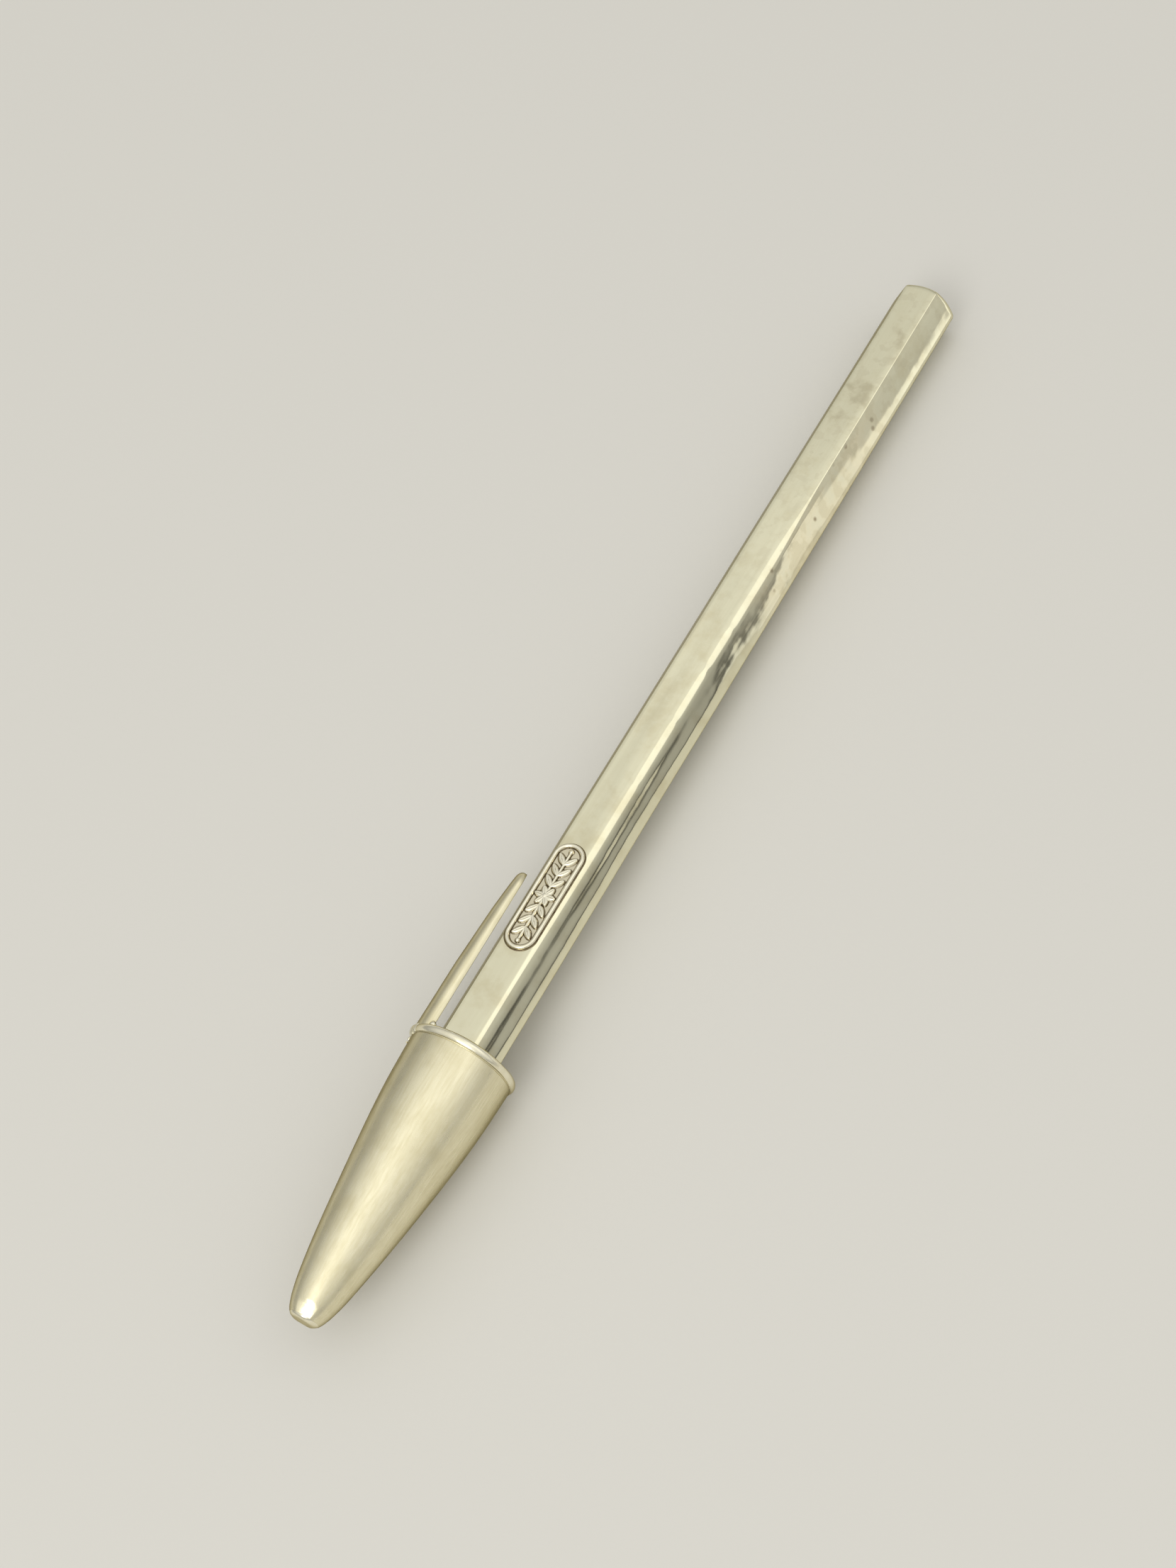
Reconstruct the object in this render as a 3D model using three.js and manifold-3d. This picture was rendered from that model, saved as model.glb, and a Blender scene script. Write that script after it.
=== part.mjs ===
// A hexagonal ballpoint pen in silver, lying with its cap on. Millimetres, +Z up.
// The pen lies along X, with the cap's nose towards -X and the closed rear end towards +X.
// Stations are counted along the pen from the tip of the nose.
import * as THREE from "three";
import { mergeVertices } from "three/addons/utils/BufferGeometryUtils.js";
import Module from "manifold-3d";

const wasm = await Module();
wasm.setup();

// Barrel
const barrelLength = 126.35; // hexagonal tube without its rear plate
const acrossFlats = 7.25;
const barrelEdgeRadius = 0.45;
const barrelWall = 0.5;
const boreEdgeRadius = 0.15;
const rearPlateThickness = 1.2;
const rearEdgeRadius = 0.35;
const rearSpigotLength = 1.5;
const bushLength = 7.5;
const bushWall = 0.4; // at the flats of the hexagon

// Cap
const noseGap = 5.05; // from the outer tip of the nose to the writing ball
const gripDepth = 10.2; // how far the barrel stands in the cap
const capWall = 0.7;
const noseRadius = 1.75;
const noseFloor = 0.8;
const linerWall = 0.63; // at the edges of the barrel, beside its front
const linerFlange = 0.8;
const linerSetback = 0.25; // behind the mouth of the cap
const beadRadius = 0.58; // half the thickness of the wire round the mouth
const beadSeatAngle = 18; // degrees each side of where the wire is flattened on the mouth

// Nose button
const buttonRadius = 1.6;
const buttonHeight = 0.5;
const buttonEdgeRadius = 0.35;
const buttonStemRadius = 1;

// Clip
const clipLength = 21.5;
const clipThickness = 1.55;
const clipRootWidth = 4.4;
const clipTipWidth = 3.2;
const clipTipLength = 2.4; // rounded end, seen from above
const clipTaperLength = 18; // where it thins towards the end
const clipHeadroom = 0.33; // over the badge, when the cap is turned
const clipAngle = 60; // degrees from the top face towards +Y
const clipCrown = 0.75; // power of the crowned section, under 1 for a fuller one

// Badge
const badgeLength = 14.4;
const badgeWidth = 3.9;
const badgePlateHeight = 0.1;
const badgeRimHeight = 0.22; // above the plate
const badgeRimWidth = 0.42;
const badgeReliefHeight = 0.13; // above the plate
const badgeSetback = 23.6; // from the front of the barrel
const badgeOffset = 0.15; // soldered a little towards +Y
const petalCount = 6;
const petalLength = 1.15;
const leafLength = 1.3;
const leafAngle = 38; // degrees from the stem
const leafPitch = 1.25; // between one pair of leaves and the next
const pearlRadius = 0.36;
const stemWidth = 0.2;

// Ink insert
const pointReach = 17.4; // from the front of the barrel to the tip of the ball
const ballRadius = 0.5;
const ballProud = 0.2; // how far the ball stands out of its cup
const socketLength = 8.5;
const socketConeLength = 2.6;
const socketShankRadius = 1.15;
const socketLipWall = 0.1;
const inkChannelRadius = 0.25;
const holderExposed = 13.2; // cone in front of the barrel
const holderTipWall = 0.4;
const holderShoulder = 0.35; // ledge that rests on the front of the bush
const holderLand = 1; // straight part behind the cone
const holderSpigotLength = 7;
const tubeRadius = 1.5;
const tubeWall = 0.5;
const tubeRearGap = 9.4; // from the open end of the tube to the rear plate
const inkRearGap = 12; // empty end of the tube

// Clearances
const slideFit = 0.06; // liner on the barrel, insert in its bush
const turnFit = 0.08; // cap round the liner
const seatFit = 0.05; // parts pressed or soldered into each other
const ballFit = 0.05;
const passFit = 0.15; // liner's flange round the insert

// How finely round shapes are divided
const roundSides = 48;
const smallSides = 28;
const arcSteps = 4;
const clipRings = 16;
const ringCrowding = 1.8; // power that crowds the clip's rings towards its end
const cutOverrun = 1; // how far a cutting body stands out of what it cuts

// The cap's outer line from its nose to its mouth, as shares of its length and of its flare
const capLine = new THREE.SplineCurve([
  new THREE.Vector2(0, 0),
  new THREE.Vector2(0.053, 0.153),
  new THREE.Vector2(0.121, 0.284),
  new THREE.Vector2(0.26, 0.46),
  new THREE.Vector2(0.47, 0.668),
  new THREE.Vector2(0.69, 0.858),
  new THREE.Vector2(0.84, 0.952),
  new THREE.Vector2(1, 1),
]).getPoints(14);

// The share of the flare that is reached at a share of the cap's length
function flareAt(share) {
  const next = Math.max(1, capLine.findIndex((p) => p.x >= share));
  const a = capLine[next - 1];
  const b = capLine[next];
  return THREE.MathUtils.mapLinear(share, a.x, b.x, a.y, b.y);
}

// Sizes that follow from those above
const apothem = acrossFlats / 2;
const boreApothem = apothem - barrelWall;
const barrelCorner = (apothem - barrelEdgeRadius) / Math.cos(Math.PI / 6) + barrelEdgeRadius;
const spigotRadius = boreApothem - bushWall - slideFit;
const holderBaseRadius = spigotRadius + holderShoulder;
const barrelFront = noseGap + pointReach;
const barrelRear = barrelFront + barrelLength;
const penLength = barrelRear + rearPlateThickness;
const capFront = buttonHeight;
const capFloor = capFront + noseFloor;
const capMouth = barrelFront + gripDepth;
const seatRadius = barrelCorner + slideFit + linerWall + turnFit + capWall;
const seatFlare = flareAt((barrelFront - capFront) / (capMouth - capFront));
const mouthRadius = noseRadius + (seatRadius - noseRadius) / seatFlare;
const beadSeat = THREE.MathUtils.degToRad(beadSeatAngle);
const beadStation = capMouth + beadRadius * Math.cos(beadSeat);
const beadCentreRadius = mouthRadius - capWall / 2;
const axisHeight = beadCentreRadius + beadRadius;
const badgeTop = apothem + badgePlateHeight + badgeRimHeight;
const badgeCorner = Math.hypot(badgeTop, badgeWidth / 2 + badgeOffset);
const clipInside = Math.max(barrelCorner, badgeCorner) + clipHeadroom;
const clipStart = beadStation + beadRadius + seatFit;
const clipEnd = clipStart + clipLength;
const badgeStation = barrelFront + badgeSetback + badgeLength / 2;
const ballStation = noseGap + ballRadius;
const cupRadius = ballRadius + ballFit;
const socketFront = noseGap + ballProud;
const socketRear = socketFront + socketLength;
const shankBoreRadius = socketShankRadius + seatFit;
const tubeBoreRadius = tubeRadius - tubeWall;
const tubeFront = socketRear + seatFit;
const tubeRear = barrelRear - rearSpigotLength - tubeRearGap;

// The cap's outer radius at a station
function capRadius(station) {
  const share = (station - capFront) / (capMouth - capFront);
  return noseRadius + (mouthRadius - noseRadius) * flareAt(share);
}

// The stations at which the cap's line bends, between two stations
function capStations(from, to) {
  return capLine
    .map((p) => capFront + p.x * (capMouth - capFront))
    .filter((station) => station > from && station < to);
}

// A solid turned about the pen's axis from an outline of [station, radius] points
function turned(outline, sides = roundSides) {
  const points = outline.map(([station, radius]) => new THREE.Vector2(radius, station));
  if (THREE.ShapeUtils.area(points) < 0) points.reverse();
  if (points[0].x > 0) points.push(points[0].clone());
  return new THREE.LatheGeometry(points, sides).rotateZ(-Math.PI / 2);
}

function roundBar(from, to, radius, sides = roundSides) {
  return turned([[from, 0], [from, radius], [to, radius], [to, 0]], sides);
}

// [station, radius] points on an arc round a point, with angles counted from +X
function arcPoints(station, radius, arcRadius, start, end, steps) {
  return Array.from({ length: steps + 1 }, (_, step) => {
    const angle = THREE.MathUtils.lerp(start, end, step / steps);
    return [station + arcRadius * Math.cos(angle), radius + arcRadius * Math.sin(angle)];
  });
}

// The corners of a hexagon with a flat on top, each rounded, in the pen's cross-section
function hexagon(flatRadius, edgeRadius) {
  const reach = (flatRadius - edgeRadius) / Math.cos(Math.PI / 6);
  return Array.from({ length: 6 }, (_, corner) => (corner * Math.PI) / 3).flatMap((middle) =>
    arcPoints(
      reach * Math.cos(middle),
      reach * Math.sin(middle),
      edgeRadius,
      middle - Math.PI / 6,
      middle + Math.PI / 6,
      arcSteps,
    ).map(([y, z]) => new THREE.Vector2(y, z)),
  );
}

// A cross-section run along the pen
function alongPen(section, from, to, steps = 1) {
  const geometry = new THREE.ExtrudeGeometry(section, { depth: to - from, steps, bevelEnabled: false });
  return geometry.rotateX(Math.PI / 2).rotateZ(Math.PI / 2).translate(from, 0, 0);
}

// A closed skin over rings with equal numbers of points, each ring anticlockwise seen from +X
function lofted(rings) {
  const count = rings[0].length;
  const lastRow = (rings.length - 1) * count;
  const points = rings.flat();
  for (const ring of [rings[0], rings[rings.length - 1]]) {
    const middle = ring.reduce((sum, p) => sum.add(p), new THREE.Vector3());
    points.push(middle.divideScalar(count));
  }
  const index = [];
  for (let i = 0; i < count; i++) {
    const j = (i + 1) % count;
    for (let row = 0; row < lastRow; row += count) {
      index.push(row + i, row + j, row + count + i);
      index.push(row + j, row + count + j, row + count + i);
    }
    index.push(points.length - 2, j, i);
    index.push(points.length - 1, lastRow + i, lastRow + j);
  }
  return new THREE.BufferGeometry().setFromPoints(points).setIndex(index);
}

function solid(geometry) {
  const bare = geometry.clone();
  bare.deleteAttribute("normal");
  bare.deleteAttribute("uv");
  const merged = mergeVertices(bare);
  return new wasm.Manifold(new wasm.Mesh({
    numProp: 3,
    vertProperties: merged.attributes.position.array,
    triVerts: new Uint32Array(merged.index.array),
  }));
}

function geometryOf(made) {
  const { vertProperties, triVerts } = made.getMesh();
  const geometry = new THREE.BufferGeometry();
  geometry.setAttribute("position", new THREE.BufferAttribute(vertProperties, 3));
  return geometry.setIndex(new THREE.BufferAttribute(triVerts, 1));
}

function cut(body, ...tools) {
  return geometryOf(tools.reduce((left, tool) => left.subtract(solid(tool)), solid(body)));
}

function join(...bodies) {
  return geometryOf(bodies.map(solid).reduce((sum, next) => sum.add(next)));
}

// The barrel is a hexagonal tube with a soldered plate at the rear and a round bush at the front
function barrelTube() {
  const section = new THREE.Shape(hexagon(apothem, barrelEdgeRadius));
  section.holes.push(new THREE.Path(hexagon(boreApothem, boreEdgeRadius)));
  return alongPen(section, barrelFront, barrelRear, 3);
}

function rearPlate() {
  const edge = arcPoints(penLength - rearEdgeRadius, 0, rearEdgeRadius, Math.PI / 2, 0, arcSteps);
  const outline = [[barrelRear, rearEdgeRadius], ...edge];
  const plate = lofted(outline.map(([station, reach]) =>
    hexagon(apothem - rearEdgeRadius + reach, barrelEdgeRadius)
      .map((p) => new THREE.Vector3(station, p.x, p.y)),
  ));
  const spigot = new THREE.Shape(hexagon(boreApothem - seatFit, boreEdgeRadius));
  return join(plate, alongPen(spigot, barrelRear - rearSpigotLength, barrelRear + seatFit));
}

function frontBush() {
  const section = new THREE.Shape(hexagon(boreApothem - seatFit, boreEdgeRadius));
  const body = alongPen(section, barrelFront, barrelFront + bushLength);
  const from = barrelFront - cutOverrun;
  const to = barrelFront + bushLength + cutOverrun;
  return cut(body, roundBar(from, to, spigotRadius + slideFit));
}

// The cap is a spun shell with a flat floor in its nose
function capShell() {
  const holeRadius = buttonStemRadius + seatFit;
  const outside = [capFront, ...capStations(capFront, capMouth), capMouth];
  const inside = [capFloor, ...capStations(capFloor, capMouth), capMouth].reverse();
  return turned([
    [capFront, holeRadius],
    ...outside.map((station) => [station, capRadius(station)]),
    ...inside.map((station) => [station, capRadius(station) - capWall]),
    [capFloor, holeRadius],
  ]);
}

function rimBead() {
  const around = Math.PI - beadSeat;
  const quarter = Math.PI / 2;
  const arc = (start, end, steps) =>
    arcPoints(beadStation, beadCentreRadius, beadRadius, start, end, steps);
  return turned([
    ...arc(-around, -quarter, arcSteps),
    ...arc(-quarter, quarter, 2 * arcSteps).slice(1, -1),
    ...arc(quarter, around, arcSteps),
  ]);
}

function noseButton() {
  const edgeReach = buttonRadius - buttonEdgeRadius;
  return turned([
    [0, 0],
    ...arcPoints(buttonEdgeRadius, edgeReach, buttonEdgeRadius, Math.PI, Math.PI / 2, arcSteps),
    [capFront, buttonRadius],
    [capFront, buttonStemRadius],
    [capFloor, buttonStemRadius],
    [capFloor, 0],
  ], smallSides);
}

// A plastic sleeve that grips the barrel, and whose flange stops the cap at the barrel's front
function capLiner() {
  const front = barrelFront - linerFlange;
  const rear = capMouth - linerSetback;
  const outside = [front, ...capStations(front, rear), rear];
  const body = turned([
    [front, 0],
    ...outside.map((station) => [station, capRadius(station) - capWall - turnFit]),
    [rear, 0],
  ]);
  const bore = new THREE.Shape(hexagon(apothem + slideFit, barrelEdgeRadius));
  const holeRadius = holderBaseRadius + passFit;
  const flangeHole = roundBar(front - cutOverrun, barrelFront + cutOverrun, holeRadius);
  return cut(body, alongPen(bore, barrelFront, rear + cutOverrun), flangeHole);
}

// The clip is flat inside and crowned outside, and thins to a rounded end
function clip() {
  const angle = Math.PI / 2 - THREE.MathUtils.degToRad(clipAngle);
  const rings = [];
  for (let ring = 0; ring <= clipRings; ring++) {
    const left = Math.max(clipLength * (1 - ring / clipRings) ** ringCrowding, seatFit);
    const width = THREE.MathUtils.lerp(clipTipWidth, clipRootWidth, left / clipLength);
    const halfWidth = (width / 2) * roundedEnd(left, clipTipLength);
    const thickness = clipThickness * roundedEnd(left, clipTaperLength);
    rings.push(clipSection(clipEnd - left, halfWidth, thickness, angle));
  }
  return lofted(rings);
}

// The share of full size at a distance from an end that is rounded over a length
function roundedEnd(distance, length) {
  return Math.sqrt(1 - Math.max(0, 1 - distance / length) ** 2);
}

function clipSection(station, halfWidth, thickness, turn) {
  const steps = 3 * arcSteps;
  return Array.from({ length: steps + 1 }, (_, step) => {
    const angle = (step / steps - 0.5) * Math.PI;
    const crown = Math.max(0, Math.cos(angle)) ** clipCrown;
    const point = new THREE.Vector3(station, clipInside + thickness * crown, halfWidth * Math.sin(angle));
    return point.applyAxisAngle(new THREE.Vector3(1, 0, 0), turn);
  });
}

// The badge is a round-ended plate with a raised rim, a rosette and two leafy sprigs
function badge() {
  const rim = stadium(badgeLength, badgeWidth);
  rim.holes.push(stadium(badgeLength - 2 * badgeRimWidth, badgeWidth - 2 * badgeRimWidth));
  const plate = raised(stadium(badgeLength, badgeWidth), 0, badgePlateHeight);
  const relief = [rosette(), sprig(0), sprig(Math.PI)].flat();
  return join(plate, raised(rim, 0, badgePlateHeight + badgeRimHeight), ...relief)
    .translate(badgeStation, badgeOffset, apothem);
}

function stadium(length, width) {
  const radius = width / 2;
  const reach = length / 2 - radius;
  return new THREE.Shape()
    .absarc(reach, 0, radius, -Math.PI / 2, Math.PI / 2)
    .absarc(-reach, 0, radius, Math.PI / 2, 1.5 * Math.PI);
}

function raised(shape, from, to) {
  const settings = { depth: to - from, bevelEnabled: false, curveSegments: 2 * arcSteps };
  return new THREE.ExtrudeGeometry(shape, settings).translate(0, 0, from);
}

// A piece of the relief, sunk into the plate by half the plate's height
function relief(shape) {
  return raised(shape, badgePlateHeight / 2, badgePlateHeight + badgeReliefHeight);
}

// A pointed leaf that starts at the origin and runs along X
function leaf(length) {
  const bulge = length / 3;
  return new THREE.Shape()
    .moveTo(0, 0)
    .quadraticCurveTo(length / 2, -bulge, length, 0)
    .quadraticCurveTo(length / 2, bulge, 0, 0);
}

function rosette() {
  const petals = Array.from({ length: petalCount }, (_, i) =>
    relief(leaf(petalLength)).rotateZ(((i + 0.5) * 2 * Math.PI) / petalCount),
  );
  return [...petals, relief(new THREE.Shape().absarc(0, 0, pearlRadius, 0, 2 * Math.PI))];
}

function sprig(turn) {
  const end = badgeLength / 2 - badgeRimWidth - 2 * pearlRadius;
  const start = petalLength;
  const stem = new THREE.Shape([
    new THREE.Vector2(0, -stemWidth / 2),
    new THREE.Vector2(end, -stemWidth / 2),
    new THREE.Vector2(end, stemWidth / 2),
    new THREE.Vector2(0, stemWidth / 2),
  ]);
  const pieces = [relief(stem)];
  for (let x = start; x + leafLength < end + pearlRadius; x += leafPitch)
    for (const side of [-1, 1]) {
      const blade = relief(leaf(leafLength)).rotateZ(side * THREE.MathUtils.degToRad(leafAngle));
      pieces.push(blade.translate(x, 0, 0));
    }
  pieces.push(relief(new THREE.Shape().absarc(end, 0, pearlRadius, 0, 2 * Math.PI)));
  return pieces.map((piece) => piece.rotateZ(turn));
}

// The insert's point: a ball in the cup of a metal socket, with an ink channel behind it
function writingBall() {
  return turned(arcPoints(ballStation, 0, ballRadius, Math.PI, 0, 3 * arcSteps)
    .map(([station, radius]) => [station, Math.max(0, radius)]), smallSides);
}

function pointSocket() {
  const behind = Math.asin(inkChannelRadius / cupRadius);
  const lip = Math.acos((socketFront - ballStation) / cupRadius);
  const lipRadius = cupRadius * Math.sin(lip);
  return turned([
    [socketFront, lipRadius + socketLipWall],
    [socketFront + socketConeLength, socketShankRadius],
    [socketRear, socketShankRadius],
    [socketRear, inkChannelRadius],
    ...arcPoints(ballStation, 0, cupRadius, behind, lip, 2 * arcSteps),
  ], smallSides);
}

function pointHolder() {
  const front = barrelFront - holderExposed;
  const rear = barrelFront + holderSpigotLength;
  return turned([
    [front, shankBoreRadius],
    [front, shankBoreRadius + holderTipWall],
    [barrelFront - holderLand, holderBaseRadius],
    [barrelFront, holderBaseRadius],
    [barrelFront, spigotRadius],
    [rear, spigotRadius],
    [rear, tubeRadius + seatFit],
    [socketRear, tubeRadius + seatFit],
    [socketRear, shankBoreRadius],
  ], smallSides);
}

function inkTube() {
  return turned([
    [tubeFront, tubeBoreRadius],
    [tubeFront, tubeRadius],
    [tubeRear, tubeRadius],
    [tubeRear, tubeBoreRadius],
  ], smallSides);
}

function inkColumn() {
  return roundBar(tubeFront, tubeRear - inkRearGap, tubeBoreRadius - seatFit, smallSides);
}

// Finishes
const satinSilver = { color: 0xcfc8ae, roughness: 0.38, metalness: 1 };
const polishedSilver = { color: 0xd8d5c6, roughness: 0.15, metalness: 1 };
const castSilver = { color: 0xc9c3ab, roughness: 0.3, metalness: 1 };
const brass = { color: 0xb59a55, roughness: 0.3, metalness: 1 };
const nickelSilver = { color: 0xc2c2bd, roughness: 0.25, metalness: 1 };
const tungstenCarbide = { color: 0x6d7073, roughness: 0.2, metalness: 1 };
const ivoryPlastic = { color: 0xe4dfcf, roughness: 0.5, metalness: 0 };
const blackPlastic = { color: 0x1b1c20, roughness: 0.35, metalness: 0 };
const clearPlastic = { color: 0xdfe3e2, roughness: 0.2, metalness: 0, transparent: true, opacity: 0.45 };
const blackInk = { color: 0x08080c, roughness: 0.1, metalness: 0 };

const pieces = {
  barrel_tube: [barrelTube, polishedSilver],
  rear_plate: [rearPlate, polishedSilver],
  front_bush: [frontBush, brass],
  badge: [badge, castSilver],
  cap_shell: [capShell, satinSilver],
  rim_bead: [rimBead, polishedSilver],
  nose_button: [noseButton, polishedSilver],
  clip: [clip, satinSilver],
  cap_liner: [capLiner, ivoryPlastic],
  point_holder: [pointHolder, blackPlastic],
  point_socket: [pointSocket, nickelSilver],
  writing_ball: [writingBall, tungstenCarbide],
  ink_tube: [inkTube, clearPlastic],
  ink_column: [inkColumn, blackInk],
};

const pen = new THREE.Group();
for (const [name, [make, finish]] of Object.entries(pieces)) {
  const mesh = new THREE.Mesh(make(), new THREE.MeshStandardMaterial(finish));
  mesh.name = name;
  pen.add(mesh);
}
pen.position.set(-penLength / 2, 0, axisHeight);

export default pen;
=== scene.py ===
# A silver hexagonal ballpoint pen lying with its cap on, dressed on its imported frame.
import math

import bmesh
import bpy
import numpy as np
from mathutils import Matrix, Vector, noise
from mathutils.geometry import interpolate_bezier


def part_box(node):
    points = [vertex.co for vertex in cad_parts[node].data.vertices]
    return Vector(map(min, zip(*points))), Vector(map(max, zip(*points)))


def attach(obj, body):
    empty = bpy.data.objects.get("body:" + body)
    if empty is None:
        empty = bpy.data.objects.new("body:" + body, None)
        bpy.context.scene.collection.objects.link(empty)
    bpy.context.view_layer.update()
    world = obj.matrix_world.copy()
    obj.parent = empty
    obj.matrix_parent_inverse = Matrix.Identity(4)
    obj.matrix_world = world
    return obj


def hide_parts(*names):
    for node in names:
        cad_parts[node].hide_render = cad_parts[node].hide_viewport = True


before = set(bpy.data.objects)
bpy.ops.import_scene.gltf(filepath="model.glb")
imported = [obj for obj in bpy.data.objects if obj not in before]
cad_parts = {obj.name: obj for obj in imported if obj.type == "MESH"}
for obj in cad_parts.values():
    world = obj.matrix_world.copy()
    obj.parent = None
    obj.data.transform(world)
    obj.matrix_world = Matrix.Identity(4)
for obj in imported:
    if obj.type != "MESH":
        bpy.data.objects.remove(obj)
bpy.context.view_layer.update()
mm = 0.001

barrelLow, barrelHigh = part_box("barrel_tube")
axisHeight = (barrelLow.z + barrelHigh.z) / 2
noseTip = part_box("nose_button")[0].x
scene = bpy.context.scene
scene.view_settings.view_transform = "Standard"


# A point of the pen: mm from the nose, mm towards the clip's side, mm above the axis
def penPoint(station, across=0.0, up=0.0):
    return Vector((noseTip + station * mm, across * mm, axisHeight + up * mm))


# An sRGB hex colour as the linear values that Blender works in
def linearColour(hexColour):
    channels = [int(hexColour[i:i + 2], 16) / 255 for i in (1, 3, 5)]
    return tuple(c / 12.92 if c <= 0.04045 else ((c + 0.055) / 1.055) ** 2.4 for c in channels) + (1.0,)


soft = {"interpolation_type": "SMOOTHSTEP"}  # for ramps that begin and end softly


# Adds one node and gives one of its outputs. Inputs come by name, or in their order; a socket is linked,
# any other value is set.
def addNode(tree, kind, inputs=(), output=0, **settings):
    node = tree.nodes.new("ShaderNode" + kind)
    for name, value in settings.items():
        setattr(node, name, value)
    for name, value in inputs.items() if isinstance(inputs, dict) else enumerate(inputs):
        if isinstance(value, bpy.types.NodeSocket):
            tree.links.new(value, node.inputs[name])
        else:
            node.inputs[name].default_value = value
    return node.outputs[output] if node.outputs else None


def addObject(name, data):
    added = bpy.data.objects.new(name, data)
    scene.collection.objects.link(added)
    return added


def addMesh(name, bm, material):
    mesh = bpy.data.meshes.new(name)
    bm.to_mesh(mesh)
    bm.free()
    mesh.materials.append(material)
    return addObject(name, mesh)


print("camera, floor and light")

camera = {
    "place": (-0.118168, -0.114378, 0.245725),  # m
    "right": (0.48671375, -0.851618, -0.19456747),
    "down": (-0.78202594, -0.32551338, -0.53148516),
    "lens": 57.508,  # mm on a 36 mm frame
}


def setCamera():
    right, down = Vector(camera["right"]), Vector(camera["down"])
    turn = Matrix((right, -down, right.cross(-down))).transposed()
    cameraData = bpy.data.cameras.new("camera")
    cameraData.lens = camera["lens"]
    cameraData.sensor_width = 36
    cameraData.clip_start = 0.01
    scene.camera = addObject("camera", cameraData)
    scene.camera.matrix_world = Matrix.Translation(camera["place"]) @ turn.to_4x4()


floor = {
    "size": 3.0,  # m
    "colour": "#D9D7D1",
    "beadStation": 33.2,  # mm, where the cap's bead touches it
    "rearStation": 149.6,  # mm, where the barrel's rear edge touches it
    "tooth": 0.6,  # mm, grain of the paper
    "toothDepth": 0.02,
}


# The pen lies on its cap's bead and on its rear edge, so the floor rises a little to the rear
def layFloor():
    front = penPoint(floor["beadStation"])
    rear = penPoint(floor["rearStation"])
    front.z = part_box("rim_bead")[0].z
    rear.z = barrelLow.z
    slope = math.atan2(rear.z - front.z, rear.x - front.x)
    bm = bmesh.new()
    bmesh.ops.create_grid(bm, x_segments=8, y_segments=8, size=floor["size"] / 2)
    bmesh.ops.transform(bm, verts=bm.verts, matrix=Matrix.Translation(front) @ Matrix.Rotation(-slope, 4, "Y"))
    paper = addMesh("floor", bm, paperMaterial())


# Uncoated drawing paper: matt, with a faint tooth
def paperMaterial():
    material, tree = newMaterial("drawingPaper")
    place = addNode(tree, "TexCoord", output="Object")
    tooth = addNode(tree, "TexNoise", {"Vector": place, "Scale": 1 / (floor["tooth"] * mm), "Detail": 3.0})
    bump = addNode(tree, "Bump", {"Height": tooth, "Distance": floor["toothDepth"] * mm, "Strength": 0.5})
    shader = addNode(tree, "BsdfPrincipled", {
        "Base Color": linearColour(floor["colour"]), "Roughness": 0.9, "Specular IOR Level": 0.2, "Normal": bump,
    })
    addNode(tree, "OutputMaterial", {"Surface": shader})
    return material


def newMaterial(name):
    material = bpy.data.materials.new(name)
    material.use_nodes = True
    material.node_tree.nodes.clear()
    return material, material.node_tree


# Ramps are from, to, and the values there. The walls' foot changes with the direction's X, along the pen:
# beside the cap it is a dark skirting, which climbs and fades towards the rear over a pale foot.
light = {
    "brightest": (-0.1, -0.35, 0.93),  # over the nose, on the camera's side
    "room": (-0.1, 1.0, 0.37, 1.07),  # strength by the dot product with the brightest direction
    "walls": (0.04, 1.0, 0.36, 1.02),  # the most it can be, by the direction's height
    "glows": [  # towards, dot products from and to, amount
        ((-0.32, -0.15, 0.93), 0.86, 0.98, 0.22),
        ((0.42, -0.52, 0.74), 0.92, 0.985, 0.3),
        ((0.12, -0.9, 0.42), 0.86, 0.98, 0.13),
        ((0.48, 0.37, 0.8), 0.986, 0.999, 0.1),
        ((0.62, -0.78, 0.08), 0.978, 0.997, 0.17),
    ],
    "skirting": 0.08,
    "skirtingClimbs": (0.44, 0.5, 0.0, 0.08),
    "skirtingFades": (0.44, 0.52, 0.0, 1.0),
    "skirtingTop": (0.008, 0.034, 0.0, 1.0),
    "paleFoot": (0.53, 0.57, 0.82, 1.12),
    "paleTop": (-0.008, 0.004, 1.0, 0.0),
    "warmth": "#FFFEFA",
    "backdrop": 0.6,  # what the camera sees beyond the floor
    "keyTowards": (-0.74, -0.1, 0.66),
    "keyDistance": 0.9,  # m
    "keySize": 0.46,
    "keyPower": 1.9,
}


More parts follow.
